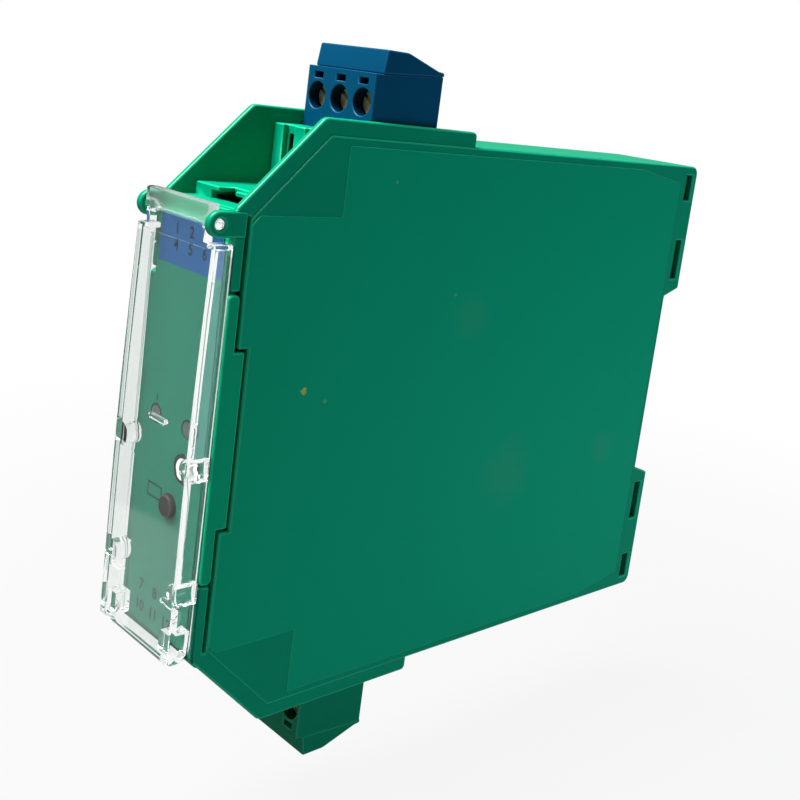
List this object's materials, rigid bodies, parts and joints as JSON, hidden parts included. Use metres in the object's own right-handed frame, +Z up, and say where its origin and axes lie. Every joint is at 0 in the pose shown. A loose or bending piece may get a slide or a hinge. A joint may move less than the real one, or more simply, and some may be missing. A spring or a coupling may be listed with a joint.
{
  "type": "signal isolator",
  "caption": "Slim green rail-mounted signal isolator with plug-in screw terminal blocks and a clear hinged front cover",
  "frame": {"origin": "middle of the rail seat, on the plane that rests on the rail's face", "axes": "+X to the right as seen from the front, front faces -Y, rail on +Y, +Z up"},
  "size_m": [0.02, 0.1133, 0.116],
  "materials": {
    "green_plastic": "moulded, slightly glossy",
    "blue_plastic": "moulded",
    "label_film": "printed film",
    "clear_plastic": "clear, polished",
    "lens": "unlit lens",
    "black_plastic": "moulded",
    "button_plastic": "moulded",
    "board_laminate": "solder resist",
    "capacitor_sleeve": "shrunk sleeve",
    "spring_steel": "plated",
    "brass": "dull"
  },
  "bodies": {
    "housing": {"housing_body": "green_plastic", "side_cover": "green_plastic", "front_panel": "green_plastic", "front_label": "label_film", "status_led": "lens", "power_led": "lens", "service_socket": "black_plastic", "button_switch": "black_plastic", "front_board": "board_laminate", "upper_terminal_base": "green_plastic", "lower_terminal_base": "green_plastic", "upper_header_pins": "brass", "lower_header_pins": "brass", "circuit_board": "board_laminate", "isolating_transformer": "black_plastic", "board_capacitors": "capacitor_sleeve", "board_chips": "black_plastic", "latch_spring": "spring_steel"},
    "cover": {"clear_cover": "clear_plastic"},
    "button": {"set_button": "button_plastic"},
    "latch": {"rail_latch": "black_plastic"},
    "upper_block": {"upper_block_body": "blue_plastic", "upper_block_cap": "blue_plastic", "upper_block_contacts": "brass"},
    "upper_screw_1": {"upper_screw_1": "brass"},
    "upper_cage_1": {"upper_cage_1": "spring_steel"},
    "upper_screw_2": {"upper_screw_2": "brass"},
    "upper_cage_2": {"upper_cage_2": "spring_steel"},
    "upper_screw_3": {"upper_screw_3": "brass"},
    "upper_cage_3": {"upper_cage_3": "spring_steel"},
    "lower_block": {"lower_block_body": "green_plastic", "lower_block_cap": "green_plastic", "lower_block_contacts": "brass"},
    "lower_screw_1": {"lower_screw_1": "brass"},
    "lower_cage_1": {"lower_cage_1": "spring_steel"},
    "lower_screw_2": {"lower_screw_2": "brass"},
    "lower_cage_2": {"lower_cage_2": "spring_steel"},
    "lower_screw_3": {"lower_screw_3": "brass"},
    "lower_cage_3": {"lower_cage_3": "spring_steel"}
  },
  "joints": [
    {"name": "cover_hinge", "type": "hinge", "parent": "housing", "child": "cover", "pos_m": [0, -0.1071, 0.03145], "axis": [-1, 0, 0], "range_deg": [0, 85]},
    {"name": "button_press", "type": "slide", "parent": "housing", "child": "button", "axis": [0, 1, 0], "range_m": [0, 0.0006], "stiffness_N_per_m": 1200},
    {"name": "latch_pull", "type": "slide", "parent": "housing", "child": "latch", "axis": [0, 0, -1], "range_m": [0, 0.0025], "stiffness_N_per_m": 2000, "deforming": ["latch_spring"]},
    {"name": "upper_block_unplug", "type": "slide", "parent": "housing", "child": "upper_block", "axis": [0, 0, 1], "range_m": [0, 0.012]},
    {"name": "upper_screw_1_turn", "type": "hinge", "parent": "upper_block", "child": "upper_screw_1", "pos_m": [-0.0055, -0.0785, 0.0498], "axis": [0, 1, 0], "range_deg": [0, 720]},
    {"name": "upper_cage_1_lift", "type": "slide", "parent": "upper_block", "child": "upper_cage_1", "axis": [0, -1, 0], "range_m": [0, 0.001]},
    {"name": "upper_screw_2_turn", "type": "hinge", "parent": "upper_block", "child": "upper_screw_2", "pos_m": [0, -0.0785, 0.0498], "axis": [0, 1, 0], "range_deg": [0, 720]},
    {"name": "upper_cage_2_lift", "type": "slide", "parent": "upper_block", "child": "upper_cage_2", "axis": [0, -1, 0], "range_m": [0, 0.001]},
    {"name": "upper_screw_3_turn", "type": "hinge", "parent": "upper_block", "child": "upper_screw_3", "pos_m": [0.0055, -0.0785, 0.0498], "axis": [0, 1, 0], "range_deg": [0, 720]},
    {"name": "upper_cage_3_lift", "type": "slide", "parent": "upper_block", "child": "upper_cage_3", "axis": [0, -1, 0], "range_m": [0, 0.001]},
    {"name": "lower_block_unplug", "type": "slide", "parent": "housing", "child": "lower_block", "axis": [0, 0, -1], "range_m": [0, 0.012]},
    {"name": "lower_screw_1_turn", "type": "hinge", "parent": "lower_block", "child": "lower_screw_1", "pos_m": [-0.0055, -0.0785, -0.0498], "axis": [0, 1, 0], "range_deg": [0, 720]},
    {"name": "lower_cage_1_lift", "type": "slide", "parent": "lower_block", "child": "lower_cage_1", "axis": [0, -1, 0], "range_m": [0, 0.001]},
    {"name": "lower_screw_2_turn", "type": "hinge", "parent": "lower_block", "child": "lower_screw_2", "pos_m": [0, -0.0785, -0.0498], "axis": [0, 1, 0], "range_deg": [0, 720]},
    {"name": "lower_cage_2_lift", "type": "slide", "parent": "lower_block", "child": "lower_cage_2", "axis": [0, -1, 0], "range_m": [0, 0.001]},
    {"name": "lower_screw_3_turn", "type": "hinge", "parent": "lower_block", "child": "lower_screw_3", "pos_m": [0.0055, -0.0785, -0.0498], "axis": [0, 1, 0], "range_deg": [0, 720]},
    {"name": "lower_cage_3_lift", "type": "slide", "parent": "lower_block", "child": "lower_cage_3", "axis": [0, -1, 0], "range_m": [0, 0.001]}
  ],
  "couplings": [
    {"joint": "upper_screw_1_turn", "follows": "upper_cage_1_lift", "rad_per_m": 12560},
    {"joint": "upper_screw_2_turn", "follows": "upper_cage_2_lift", "rad_per_m": 12560},
    {"joint": "upper_screw_3_turn", "follows": "upper_cage_3_lift", "rad_per_m": 12560},
    {"joint": "lower_screw_1_turn", "follows": "lower_cage_1_lift", "rad_per_m": 12560},
    {"joint": "lower_screw_2_turn", "follows": "lower_cage_2_lift", "rad_per_m": 12560},
    {"joint": "lower_screw_3_turn", "follows": "lower_cage_3_lift", "rad_per_m": 12560}
  ]
}
